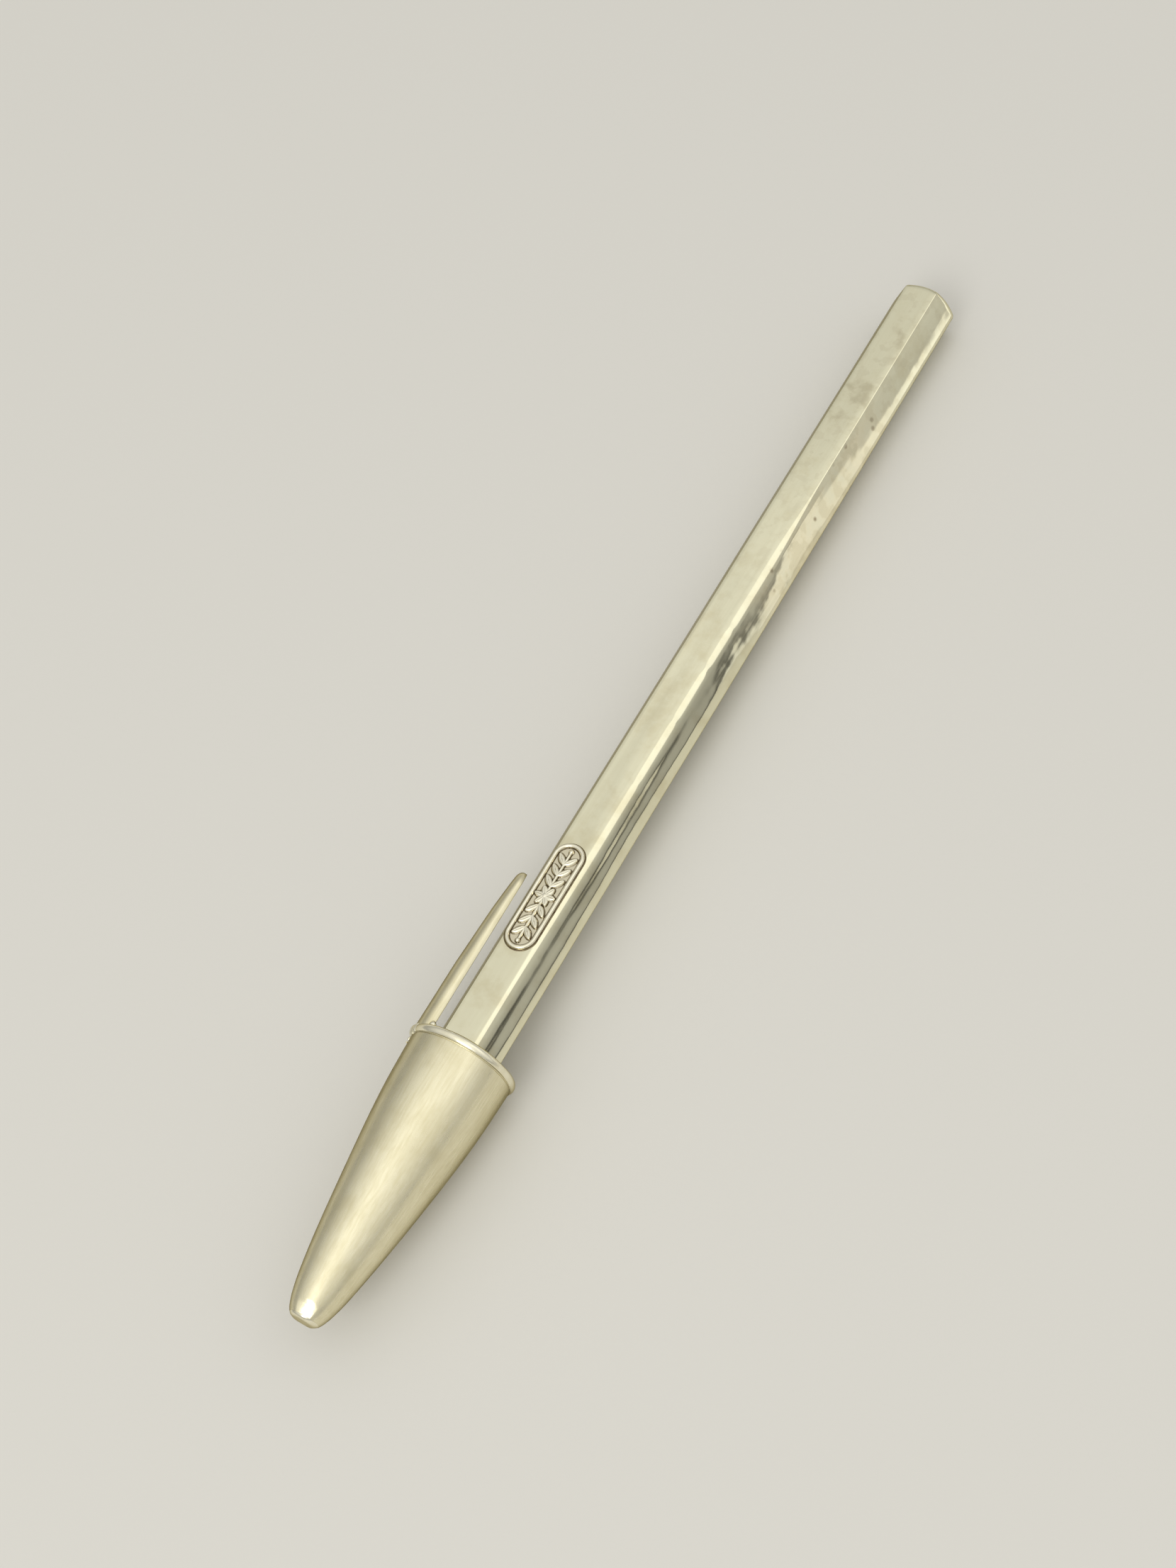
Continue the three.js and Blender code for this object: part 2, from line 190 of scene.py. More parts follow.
# A soft ceiling that fades evenly towards the walls, as a world, and one soft lamp over the nose
def setLight():
    world = bpy.data.worlds.new("studio")
    scene.world = world
    world.use_nodes = True
    tree = world.node_tree
    tree.nodes.clear()
    towards = addNode(tree, "TexCoord", output="Generated")
    along = addNode(tree, "SeparateXYZ", (towards,), "X")
    height = addNode(tree, "SeparateXYZ", (towards,), "Z")
    brightest = Vector(light["brightest"]).normalized()
    facing = addNode(tree, "VectorMath", (towards, brightest), "Value", operation="DOT_PRODUCT")
    room = addNode(tree, "MapRange", (facing, *light["room"]))
    walls = addNode(tree, "MapRange", (height, *light["walls"]))
    level = addNode(tree, "Math", (room, walls), operation="MINIMUM")
    for direction, *ends, amount in light["glows"]:
        centre = Vector(direction).normalized()
        near = addNode(tree, "VectorMath", (towards, centre), "Value", operation="DOT_PRODUCT")
        glow = addNode(tree, "MapRange", (near, *ends, 0.0, amount), **soft)
        level = addNode(tree, "Math", (level, glow), operation="ADD")
    climb = addNode(tree, "MapRange", (along, *light["skirtingClimbs"]))
    lifted = addNode(tree, "Math", (height, climb), operation="SUBTRACT")
    faded = addNode(tree, "MapRange", (along, *light["skirtingFades"]))
    over = addNode(tree, "MapRange", (lifted, *light["skirtingTop"]), **soft)
    pale = addNode(tree, "MapRange", (along, *light["paleFoot"]))
    under = addNode(tree, "MapRange", (lifted, *light["paleTop"]), **soft)
    seen = addNode(tree, "LightPath", output="Is Camera Ray")
    strength = light["skirting"]
    for share, other in ((faded, level), (over, level), (under, pale), (seen, light["backdrop"])):
        strength = addNode(tree, "Mix", {0: share, 2: strength, 3: other}, data_type="FLOAT")
    background = addNode(tree, "Background", {"Color": linearColour(light["warmth"]), "Strength": strength})
    addNode(tree, "OutputWorld", {"Surface": background})

    lampData = bpy.data.lights.new("key", "AREA")
    lampData.shape = "DISK"
    lampData.size = light["keySize"]
    lampData.energy = light["keyPower"]
    lampData.color = linearColour(light["warmth"])[:3]
    lamp = addObject("key", lampData)
    towardsLamp = Vector(light["keyTowards"]).normalized()
    lamp.location = towardsLamp * light["keyDistance"]
    lamp.rotation_euler = towardsLamp.to_track_quat("Z", "Y").to_euler()


setCamera()
layFloor()
setLight()

print("finishes")


# A metal: waves left by hand work, hammer marks and fine lines, each as mm along the pen, across and deep,
# and tarnish in soft patches and on the lines.
# Optional parts of its look: a shape of its own under the waves, stained places with a painted sheen, and hollows
# that stay dark.
def metalMaterial(name, look):
    material, tree = newMaterial(name)
    place = addNode(tree, "TexCoord", output="Object")
    marks, heights = {}, [(look["shape"](tree, place), 1.0)] if "shape" in look else []
    for kind, detail in (("wave", 1.5), ("hammered", 1.0), ("line", 3.0)):
        if kind in look:
            long, wide, depth = look[kind]
            scale = (1 / (long * mm), 1 / (wide * mm), 1 / (wide * mm))
            stretched = addNode(tree, "Mapping", {"Vector": place, "Scale": scale})
            marks[kind] = addNode(tree, "TexNoise", {"Vector": stretched, "Scale": 1.0, "Detail": detail})
            heights.append((marks[kind], depth * mm))
    below = {}
    for height, depth in heights:
        normal = addNode(tree, "Bump", {"Height": height, "Distance": depth, "Strength": 1.0, **below})
        below = {"Normal": normal}

    patch = {"Vector": place, "Scale": 1 / (look["patch"] * mm), "Detail": 4.0, "Roughness": 0.6}
    patches = addNode(tree, "TexNoise", patch)
    layers = [  # a value, where it starts and ends, the shares there, the colour it brings
        (patches, 0.42, 0.75, 0.0, look["patchShare"], look["tarnish"]),
        (marks["line"], 0.35, 0.75, 0.0, look["lineShare"], look["tarnish"]),
    ]
    for attribute, part, *ramp in (
        ("raised", "field", 0.15, 0.75, 1.0, 0.0), ("hollow", "hollow", 0.012, 0.09, 0.0, 1.0),
    ):
        if part in look:
            layers.append((addNode(tree, "Attribute", (), "Fac", attribute_name=attribute), *ramp, look[part]))
    colour = linearColour(look["colour"])
    for *ramp, shade in layers:
        share = addNode(tree, "MapRange", ramp, **soft)
        colour = addNode(tree, "Mix", {0: share, 6: colour, 7: linearColour(shade)}, 2, data_type="RGBA")
    # Stains, and on the side flats a painted sheen
    if "stainAndSheen" in look:
        colour = look["stainAndSheen"](tree, place, colour, patches)
    roughness = addNode(tree, "MapRange", (marks["line"], 0.3, 0.7, *look["roughness"]), **soft)
    # The "edge" colour, darker than each metal's own, goes to Specular Tint: it darkens the reflection at grazing
    # angles, a painted shade along the outlines
    shader = addNode(tree, "BsdfPrincipled", {
        "Base Color": colour, "Metallic": 1.0, "Roughness": roughness, "Normal": normal,
        "Specular Tint": linearColour(look["edge"]),
    })
    addNode(tree, "OutputMaterial", {"Surface": shader})
    return material


flats = {
    "down": (0, -0.5, -0.866),  # the way down the side flat that faces the camera
    "lean": 0.061,  # slope of the side flats, as a share, by the cap
    "leanChanges": [(78, 114, -0.061), (88, 102, 0.058), (109, 135, 0.05)],  # stations, change between them
    "crown": 0.006,  # per mm, how much each flat bulges across
    "ripple": 0.0062,  # mm high, along the flat by the cap
    "rippleWide": 1.9,  # mm from crest to crest
    "ripplePhase": 3.8,
    "rippleEnds": (70, 104),
    "wander": (0.06, 2.0),  # of the ripple: per mm along the pen, and how far in radians
    "stainedAndSheen": (92, 104, 122, 136),  # stations where the yellow tarnish and its painted sheen begin, are full, and end again
    "smudged": (120, 130),  # stations where the smudges begin and are full
    "dulled": (80, 120),
    "sideEdge": (-2.6, -2.0),  # mm across, where the side flat ends
    "topEdge": (-2.2, -1.8),
    "veins": 1.7,  # mm
    "pits": 3.4,  # mm apart
}


# The station along the pen, in mm, at a point of a material
def stationAt(tree, place):
    x = addNode(tree, "SeparateXYZ", (place,), "X")
    return addNode(tree, "Math", (x, 1 / mm, -noseTip / mm), operation="MULTIPLY_ADD")


# The side flats aren't quite flat: they lean by a few degrees that change along the pen, bulge across, and ripple
# by the cap. "down" is the distance down the side flat from its middle, in metres, as the height is.
def flatShape(tree, place):
    station = stationAt(tree, place)
    down = addNode(tree, "VectorMath", (place, flats["down"]), "Value", operation="DOT_PRODUCT")
    down = addNode(tree, "Math", (down, -flats["down"][2] * axisHeight), operation="ADD")
    lean = flats["lean"]
    for *ends, change in flats["leanChanges"]:
        changed = addNode(tree, "MapRange", (station, *ends, 0.0, change), **soft)
        lean = addNode(tree, "Math", (lean, changed), operation="ADD")
    height = addNode(tree, "Math", (lean, down), operation="MULTIPLY")
    square = addNode(tree, "Math", (down, down), operation="MULTIPLY")
    height = addNode(tree, "Math", (square, -flats["crown"] / mm, height), operation="MULTIPLY_ADD")
    often, far = flats["wander"]
    wander = addNode(tree, "TexNoise", {"W": station, "Scale": often, "Detail": 1.0}, noise_dimensions="1D")
    pace = math.tau / (flats["rippleWide"] * mm)
    turn = addNode(tree, "Math", (down, pace, flats["ripplePhase"]), operation="MULTIPLY_ADD")
    turn = addNode(tree, "Math", (wander, far, turn), operation="MULTIPLY_ADD")
    wave = addNode(tree, "Math", (turn,), operation="SINE")
    depth = addNode(tree, "MapRange", (station, *flats["rippleEnds"], flats["ripple"] * mm, 0.0), **soft)
    return addNode(tree, "Math", (wave, depth, height), operation="MULTIPLY_ADD")


# Yellow tarnish with pits on the side flat towards the rear, with pale patches lighter than the silver that are a
# painted sheen, and grey smudges on the top near the end
def flatStainAndSheen(tree, place, colour, patches):
    station = stationAt(tree, place)
    y = addNode(tree, "SeparateXYZ", (place,), "Y")
    across = addNode(tree, "Math", (y, 1 / mm), operation="MULTIPLY")
    veins = addNode(tree, "TexNoise", {"Vector": place, "Scale": 1 / (flats["veins"] * mm), "Detail": 3.0})
    cells = {"Vector": place, "Scale": 1 / (flats["pits"] * mm), "Randomness": 1.0}
    pits = addNode(tree, "TexVoronoi", cells, "Distance")
    ramps = {  # a value, where it starts and ends, the shares there
        "side": (across, *flats["sideEdge"], 1.0, 0.0),
        "top": (across, *flats["topEdge"], 0.0, 1.0),
        "after": (station, *flats["stainedAndSheen"][:2], 0.0, 1.0),
        "before": (station, *flats["stainedAndSheen"][2:], 1.0, 0.0),
        "rearHalf": (station, *flats["dulled"], 0.0, 1.0),
        "rearEnd": (station, *flats["smudged"], 0.0, 1.0),
        "tarnishAndSheen": (patches, 0.3, 0.6, 0.2, 0.8),
        "veined": (veins, 0.42, 0.62, 0.0, 0.5),
        "faint": (veins, 0.5, 0.6, 0.0, 0.35),
        "pitted": (pits, 0.05, 0.14, 0.8, 0.0),
        "smudged": (patches, 0.52, 0.66, 0.0, 0.28),
    }
    shares = {name: addNode(tree, "MapRange", ramp, **soft) for name, ramp in ramps.items()}
    for (first, *others), shade in (
        # Pale yellow patches, lighter than the silver itself: yellow tarnish with a painted brighter reflection
        (("tarnishAndSheen", "after", "before", "side"), "#FCF3D3"),
        (("veined", "after", "before", "side"), "#F1E6C0"),
        (("faint", "rearHalf"), "#DCD5B8"),
        (("pitted", "after", "before", "side"), "#7A6245"),
        (("smudged", "rearEnd", "top"), "#B3AB93"),
    ):
        share = shares[first]
        for other in others:
            share = addNode(tree, "Math", (share, shares[other]), operation="MULTIPLY")
        colour = addNode(tree, "Mix", {0: share, 6: colour, 7: linearColour(shade)}, 2, data_type="RGBA")
    return colour


# Sterling silver rubbed along its length: a broad soft shine with faint lengthwise lines,
# drawn a few times wider than the real scratches, so that they show
# Its dark "edge" colour is painted shade along the cap's outline
satinSilver = metalMaterial("rubbedSterlingSilver", {
    "colour": "#F1EACB", "tarnish": "#D9CFA8", "edge": "#82785E", "roughness": (0.26, 0.38),
    "wave": (7, 2, 0.024), "line": (5, 0.26, 0.0022), "lineShare": 0.4, "patch": 5, "patchShare": 0.5,
})

# Sterling silver polished by hand: nearly a mirror, but its flats are wavy and stained in places, with a painted
# sheen on the side flat
polishedSilver = metalMaterial("polishedSterlingSilver", {
    "colour": "#EFEBCE", "tarnish": "#E0D8B6", "edge": "#B5AF95", "roughness": (0.03, 0.06),
    "wave": (26, 2.4, 0.024), "line": (12, 0.3, 0.0004), "lineShare": 0.12, "patch": 4, "patchShare": 0.8,
    "hammered": (2.4, 2.4, 0.009), "shape": flatShape, "stainAndSheen": flatStainAndSheen,
})

# Silver wire, soldered on and buffed: it shines softly and has no clean mirror left
polishedWire = metalMaterial("polishedSilverWire", {
    "colour": "#FAF5DE", "tarnish": "#EDE6C8", "edge": "#C2BA9E", "roughness": (0.16, 0.26),
    "wave": (2.4, 2.6, 0.008), "line": (1.2, 0.6, 0.0006), "lineShare": 0.2, "patch": 2, "patchShare": 0.7,
})

# Cast and soldered sterling silver: bright on its high places, brown oxide left in its hollows
castSilver = metalMaterial("castSterlingSilver", {
    "colour": "#F7F2DD", "tarnish": "#E5DDC0", "edge": "#9C9276", "roughness": (0.2, 0.3),
    "wave": (1.2, 0.8, 0.008), "line": (0.4, 0.12, 0.001), "lineShare": 0.2, "patch": 1.5, "patchShare": 0.6,
    "field": "#DCD4BA", "hollow": "#6A5C47",
})

# Brass off the lathe: warm yellow, with faint rings round it
turnedBrass = metalMaterial("turnedBrass", {
    "colour": "#D8B66A", "tarnish": "#A88846", "edge": "#B89A5A", "roughness": (0.2, 0.36),
    "wave": (2, 4, 0.004), "line": (0.1, 3, 0.002), "lineShare": 0.5, "patch": 3, "patchShare": 0.8,
})

# Nickel silver off the lathe: paler and greyer than the brass, with the same faint rings
turnedNickelSilver = metalMaterial("turnedNickelSilver", {
    "colour": "#D6D5CF", "tarnish": "#B9B6AB", "edge": "#AFADA5", "roughness": (0.16, 0.3),
    "wave": (2, 4, 0.002), "line": (0.08, 3, 0.0015), "lineShare": 0.5, "patch": 2, "patchShare": 0.8,
})

# Tungsten carbide, ground and lapped: dark grey with an even, soft shine
groundCarbide = metalMaterial("groundTungstenCarbide", {
    "colour": "#8C8F92", "tarnish": "#6C6F72", "edge": "#77797B", "roughness": (0.12, 0.26),
    "wave": (0.3, 0.3, 0.001), "line": (0.06, 0.06, 0.0008), "lineShare": 0.5, "patch": 0.4, "patchShare": 0.8,
})

# Lead-grey solder and brown oxide, dull and grainy
oxide = metalMaterial("oxidisedSolder", {
    "colour": "#8F8266", "tarnish": "#5A4634", "edge": "#6F6250", "roughness": (0.4, 0.6),
    "wave": (1, 0.6, 0.02), "line": (0.3, 0.15, 0.004), "lineShare": 0.5, "patch": 0.9, "patchShare": 0.8,
})


# A plastic: the moulding's faint ripple and grain, each as mm wide and deep, and a little unevenness in its gloss
def plasticMaterial(name, look):
    material, tree = newMaterial(name)
    place = addNode(tree, "TexCoord", output="Object")
    marks, below = {}, {}
    for kind, detail in (("ripple", 1.0), ("grain", 2.0)):
        wide, depth = look[kind]
        marks[kind] = addNode(tree, "TexNoise", {"Vector": place, "Scale": 1 / (wide * mm), "Detail": detail})
        below = {"Normal": addNode(tree, "Bump", {"Height": marks[kind], "Distance": depth * mm, **below})}
    shades = {0: marks["ripple"], 6: linearColour(look["colour"]), 7: linearColour(look["shade"])}
    shader = addNode(tree, "BsdfPrincipled", {
        "Base Color": addNode(tree, "Mix", shades, 2, data_type="RGBA"),
        "Roughness": addNode(tree, "MapRange", (marks["grain"], 0.3, 0.7, *look["roughness"])),
        "IOR": look["ior"], "Transmission Weight": look.get("transmission", 0.0),
        "Subsurface Weight": look.get("subsurface", 0.0), "Subsurface Scale": 0.5 * mm, **below,
    })
    addNode(tree, "OutputMaterial", {"Surface": shader})
    return material


# Moulded polyethylene: waxy, off-white
ivoryPlastic = plasticMaterial("mouldedPolyethylene", {
    "colour": "#EDE8DA", "shade": "#DCD5C2", "roughness": (0.35, 0.5), "ior": 1.51, "subsurface": 0.15,
    "ripple": (2.5, 0.01), "grain": (0.15, 0.0015),
})

# Moulded polypropylene, dyed through: near black, half gloss
blackPlastic = plasticMaterial("mouldedPolypropylene", {
    "colour": "#1C1D21", "shade": "#232429", "roughness": (0.28, 0.4), "ior": 1.49,
    "ripple": (2.0, 0.006), "grain": (0.12, 0.0015),
})

# Extruded polypropylene: clear but milky, so that the ink shows through it
milkyPlastic = plasticMaterial("extrudedPolypropylene", {
    "colour": "#EEF0EF", "shade": "#E2E6E6", "roughness": (0.18, 0.3), "ior": 1.49, "transmission": 0.8,
    "ripple": (4.0, 0.006), "grain": (0.2, 0.001),
})

# Paste ink: black and wet
blackInk = plasticMaterial("pasteInk", {
    "colour": "#0B0B12", "shade": "#13131F", "roughness": (0.06, 0.12), "ior": 1.45,
    "ripple": (3.0, 0.004), "grain": (0.6, 0.001),
})


# Turns a bmesh into a piece that rides on its body, in place of its CAD nodes
def finishPiece(name, bm, body, slotName, material, *nodes, sharpOver=40):
    bmesh.ops.remove_doubles(bm, verts=bm.verts, dist=1e-7)
    bmesh.ops.recalc_face_normals(bm, faces=bm.faces)
    if bm.calc_volume(signed=True) < 0:
        bmesh.ops.reverse_faces(bm, faces=bm.faces)
    for face in bm.faces:
        face.smooth = True
    for edge in bm.edges:
        edge.smooth = edge.calc_face_angle(0.0) < math.radians(sharpOver)
    piece = addMesh(name, bm, material)
    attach(piece, body)
    if nodes:
        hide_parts(*nodes)


# Extra points on a smooth line through a few knots
def smoothLine(knots, perSpan):
    points = [Vector(knot) for knot in knots]
    ends = [points[0]] + points + [points[-1]]
    line = []
    for before, start, end, after in zip(ends, ends[1:], ends[2:], ends[3:]):
        leaving, arriving = start + (end - before) / 6, end - (after - start) / 6
        line += interpolate_bezier(start, leaving, arriving, end, perSpan + 1)[:-1]
    return [(p[0], p[1]) for p in line] + [tuple(points[-1])]


# Spins an outline of (station, radius) points round the pen's axis
def turnedBody(outline, steps, closed=True):
    bm = bmesh.new()
    verts = [bm.verts.new(penPoint(station, 0, radius)) for station, radius in outline]
    edges = [bm.edges.new(pair) for pair in zip(verts, verts[1:])]
    if closed:
        edges.append(bm.edges.new((verts[-1], verts[0])))
    bmesh.ops.spin(
        bm, geom=verts + edges, cent=penPoint(0), axis=(1, 0, 0), angle=math.tau, steps=steps, use_merge=True,
    )
    bmesh.ops.remove_doubles(bm, verts=bm.verts, dist=1e-7)
    bmesh.ops.recalc_face_normals(bm, faces=bm.faces)
    return bm


# The station and radius of a vertex, in mm
def stationAndRadius(vert):
    return (vert.co.x - noseTip) / mm, math.hypot(vert.co.y, vert.co.z - axisHeight) / mm


# Brings a vertex to a share of its distance from the pen's axis
def scaleRadius(vert, share):
    vert.co.y *= share
    vert.co.z = axisHeight + (vert.co.z - axisHeight) * share


# A bevel as the editor makes it, with its offset in mm
def bevelEdges(bm, edges, offset, segments):
    return bmesh.ops.bevel(
        bm, geom=edges, offset=offset * mm, segments=segments, profile=0.5, affect="EDGES", material=-1,
    )


# Rounds the ring-shaped edges at one (station, radius) point of a turned piece
def roundRing(bm, station, radius, size, segments=3):
    def atRing(vert):
        s, r = stationAndRadius(vert)
        return abs(s - station) < 0.004 and abs(r - radius) < 0.02
    bevelEdges(bm, [edge for edge in bm.edges if all(map(atRing, edge.verts))], size, segments)


# Small unevenness that hand work leaves, along each vertex's normal, with the waves' length and depth in mm
def handMade(bm, wave, depth, seed, stretch=1.0):
    bm.normal_update()
    for vert in bm.verts:
        at = Vector((vert.co.x / stretch, vert.co.y, vert.co.z)) / (wave * mm) + Vector((seed, 0, 0))
        vert.co += vert.normal * noise.noise(at) * depth * mm


print("cap")

cap = {
    "front": 0.5,
    "mouth": 32.65,
    "wall": 0.7,
    "frontWall": 0.8,
    "line": [  # station, radius
        (0.5, 1.8), (0.9, 2.04), (1.45, 2.27), (2.3, 2.56), (4.39, 3.06), (8.86, 3.82),
        (15.61, 4.76), (22.68, 5.61), (27.5, 6.03), (32.65, 6.25),
    ],
    "stemRadius": 1.0,
    "filed": [  # degrees from the top, half its width in degrees, stations, fade, depth
        (57, 13, (21.0, 40.0), 8.0, 0.05),
        (-13, 30, (0.1, 2.0), 0.5, 0.13),
    ],
    "dents": [  # station, degrees from the top towards the clip's side, width, depth
        (29.4, 8, 0.5, 0.03), (31.2, -20, 0.4, 0.025), (7.6, -48, 0.6, 0.03), (9.4, -52, 0.8, 0.02),
        (18.0, 38, 2.2, 0.03), (24.0, -30, 2.8, 0.03), (13.0, 5, 2.4, 0.025),
    ],
}


def capLineRadius(station):
    for (s1, r1), (s2, r2) in zip(cap["line"], cap["line"][1:]):
        if station <= s2:
            return r1 + (r2 - r1) * (station - s1) / (s2 - s1)
    return cap["line"][-1][1]


def addDents(bm):
    bm.normal_update()
    for station, degrees, width, depth in cap["dents"]:
        angle, radius = math.radians(degrees), capLineRadius(station)
        middle = penPoint(station, radius * math.sin(angle), radius * math.cos(angle))
        for vert in bm.verts:
            share = (vert.co - middle).length / (width * mm)
            if share < 1:
                vert.co -= vert.normal * depth * mm * (1 - share * share) ** 2


# Flats left by the file on the outside: one before the clip's root and one on the nose
def fileFlats(bm, filed):
    for degrees, reach, (begin, end), fade, depth in filed:
        for vert in bm.verts:
            station, radius = stationAndRadius(vert)
            if not begin < station < end or radius < capLineRadius(station) - 0.25:
                continue
            aside = (math.degrees(math.atan2(vert.co.y, vert.co.z - axisHeight)) - degrees) / reach
            if abs(aside) < 1:
                along = min(1.0, (station - begin) / fade, (end - station) / fade)
                scaleRadius(vert, 1 - depth * along * (1 - aside * aside) / radius)


def makeCapShell():
    outer = smoothLine(cap["line"], 9)
    inside = cap["front"] + cap["frontWall"]
    inner = [(max(s, inside), r - cap["wall"]) for s, r in reversed(outer) if s > inside - 0.1]
    outline = [(cap["front"], cap["stemRadius"])] + outer + inner + [(inside, cap["stemRadius"])]
    bm = turnedBody(outline, 160)
    roundRing(bm, cap["mouth"], cap["line"][-1][1], size=0.12)
    handMade(bm, wave=5.5, depth=0.05, seed=3, stretch=2.5)
    addDents(bm)
    fileFlats(bm, cap["filed"])
    finishPiece("capShell", bm, "cap", "satin_silver", satinSilver, "cap_shell")


bead = {"station": 33.2, "ringRadius": 5.903, "wireRadius": 0.58}


# The round outline of a wire that lies in a ring
def wireSection(station, ringRadius, wireRadius, steps):
    turns = [math.tau * step / steps for step in range(steps)]
    return [(station + wireRadius * math.cos(turn), ringRadius + wireRadius * math.sin(turn)) for turn in turns]


def makeRimBead():
    bm = turnedBody(wireSection(*bead.values(), 20), 160)
    handMade(bm, wave=3.5, depth=0.09, seed=9)
    finishPiece("rimBead", bm, "cap", "polished_silver", polishedWire, "rim_bead")


button = {
    "radius": 1.79, "flat": 1.1, "dome": 0.1, "height": 0.42, "stem": 0.98, "stemEnd": 1.3,
    "edgeDegrees": 68,  # how far its edge is rounded
    "facets": 5,
    "filing": 0.03,  # share of the radius that is filed off
    "across": 0.1,  # mm, how far its front leans
}


def makeNoseButton():
    flat, radius, dome, height = button["flat"], button["radius"], button["dome"], button["height"]
    outline = [(0.0, 0.0), (0.25 * dome, 0.5 * flat), (dome, flat)]
    last = math.radians(button["edgeDegrees"])
    for step in range(1, 9):
        angle = last * step / 8
        outline.append((
            dome + height * (1 - math.cos(angle)) / (1 - math.cos(last)),
            flat + (radius - flat) * math.sin(angle) / math.sin(last),
        ))
    back = height + dome + 0.02
    outline += [(back, radius - 0.03), (back, 1.0), (button["stemEnd"], button["stem"]), (button["stemEnd"], 0.0)]
    bm = turnedBody(outline, 64, closed=False)
    for vert in bm.verts:
        station, radius = stationAndRadius(vert)
        if station < 0.9:
            angle = math.atan2(vert.co.z - axisHeight, vert.co.y)
            filed = 0.5 + 0.5 * math.cos(button["facets"] * angle)
            scaleRadius(vert, 1 - button["filing"] * filed * min(1.0, radius))
            vert.co.y += button["across"] * mm * max(0.0, 1 - station / 0.5)
    fileFlats(bm, cap["filed"][1:])
    handMade(bm, wave=0.9, depth=0.03, seed=5)
    finishPiece("noseButton", bm, "cap", "polished_silver", polishedWire, "nose_button")


clip = {
    "start": 33.35,
    "end": 55.33,
    "inside": 4.8,  # from the pen's axis
    "thickness": [(0, 0.9), (2, 1.08), (5.5, 1.32), (13, 1.58), (22, 1.62)],  # (mm from the tip, mm)
    "side": 0.62,  # straight side wall under the crown
    "crown": (2.2, 0.6),  # powers of the curve across it
    "rootWidth": 4.4,
    "tipWidth": 3.2,
    "tipLength": 2.0,  # rounded end, seen from above
    "tipRound": 0.9,  # rounded end, seen from the side
    "tipShare": 0.35,  # of the thickness, left at the very tip
    "degrees": 60,  # from the top flat
}


# The share of full size at a distance from an end that is rounded over a length
def roundedEnd(distance, length):
    return math.sqrt(max(0.0, 1 - max(0.0, 1 - distance / length) ** 2))


# A grid thickened upwards, crowned across, tapered along and rounded at its tip, then swung to the clip's side
def makeClip():
    bm = bmesh.new()
    bmesh.ops.create_grid(bm, x_segments=110, y_segments=24, size=0.5)
    length = clip["end"] - clip["start"]
    stations, depths = zip(*clip["thickness"])
    across, over = clip["crown"]
    raised = bmesh.ops.extrude_face_region(bm, geom=list(bm.faces))["geom"]
    top = {v for v in raised if isinstance(v, bmesh.types.BMVert)}
    for vert in bm.verts:
        left = length * (0.5 - vert.co.x) ** 1.8  # the rows are closer by the tip
        sideways = math.sin(vert.co.y * math.pi)
        width = clip["tipWidth"] + (clip["rootWidth"] - clip["tipWidth"]) * left / length
        half = width / 2 * max(0.06, roundedEnd(left, clip["tipLength"]))
        full = float(np.interp(left, stations, depths))
        thickness = full * (clip["tipShare"] + (1 - clip["tipShare"]) * roundedEnd(left, clip["tipRound"]))
        side = clip["side"] * thickness / clip["thickness"][-1][1]
        crown = side + (thickness - side) * (1 - abs(sideways) ** across) ** over
        up = clip["inside"] + (crown if vert in top else 0.0)
        vert.co = penPoint(clip["end"] - left, half * sideways, up)
    swing = Matrix.Rotation(-math.radians(clip["degrees"]), 3, "X")
    bmesh.ops.rotate(bm, verts=bm.verts, cent=penPoint(0), matrix=swing)
    bmesh.ops.recalc_face_normals(bm, faces=bm.faces)
    corners = [e for e in bm.edges if len(e.link_faces) == 2 and e.calc_face_angle() > math.radians(50)]
    bevelEdges(bm, corners, 0.07, 2)
    handMade(bm, wave=3, depth=0.03, seed=2, stretch=2)
    finishPiece("clipBlade", bm, "cap", "satin_silver", satinSilver, "clip")


solder = {
    "seam": (32.665, 6.24, 0.07),  # station, radius, half its thickness
    "lumps": [  # station, across, up, radius
        (33.95, 3.2, 4.45, 0.42), (34.0, 5.55, 0.5, 0.4), (32.75, 5.2, 3.45, 0.28),
        (33.25, 5.55, 2.35, 0.66), (33.2, 4.85, 3.6, 0.6), (32.2, 5.75, 2.35, 0.2), (31.6, 5.62, 2.75, 0.12),
    ],
}


# The soldered joint between the cap and its bead, and drops of solder by the clip's root
def makeSolder():
    bm = turnedBody(wireSection(*solder["seam"], 8), 160)
    finishPiece("beadSeam", bm, "cap", "polished_silver", satinSilver)
    bm = bmesh.new()
    for station, across, up, size in solder["lumps"]:
        flattened = Matrix.Translation(penPoint(station, across, up)) @ Matrix.Diagonal((1.3, 1, 1, 1))
        bmesh.ops.create_icosphere(bm, subdivisions=3, radius=size * mm, matrix=flattened)
    handMade(bm, wave=0.5, depth=0.06, seed=6)
    finishPiece("solderDrops", bm, "cap", "polished_silver", polishedWire)


makeCapShell()
makeRimBead()
makeNoseButton()
makeClip()
makeSolder()

print("barrel")

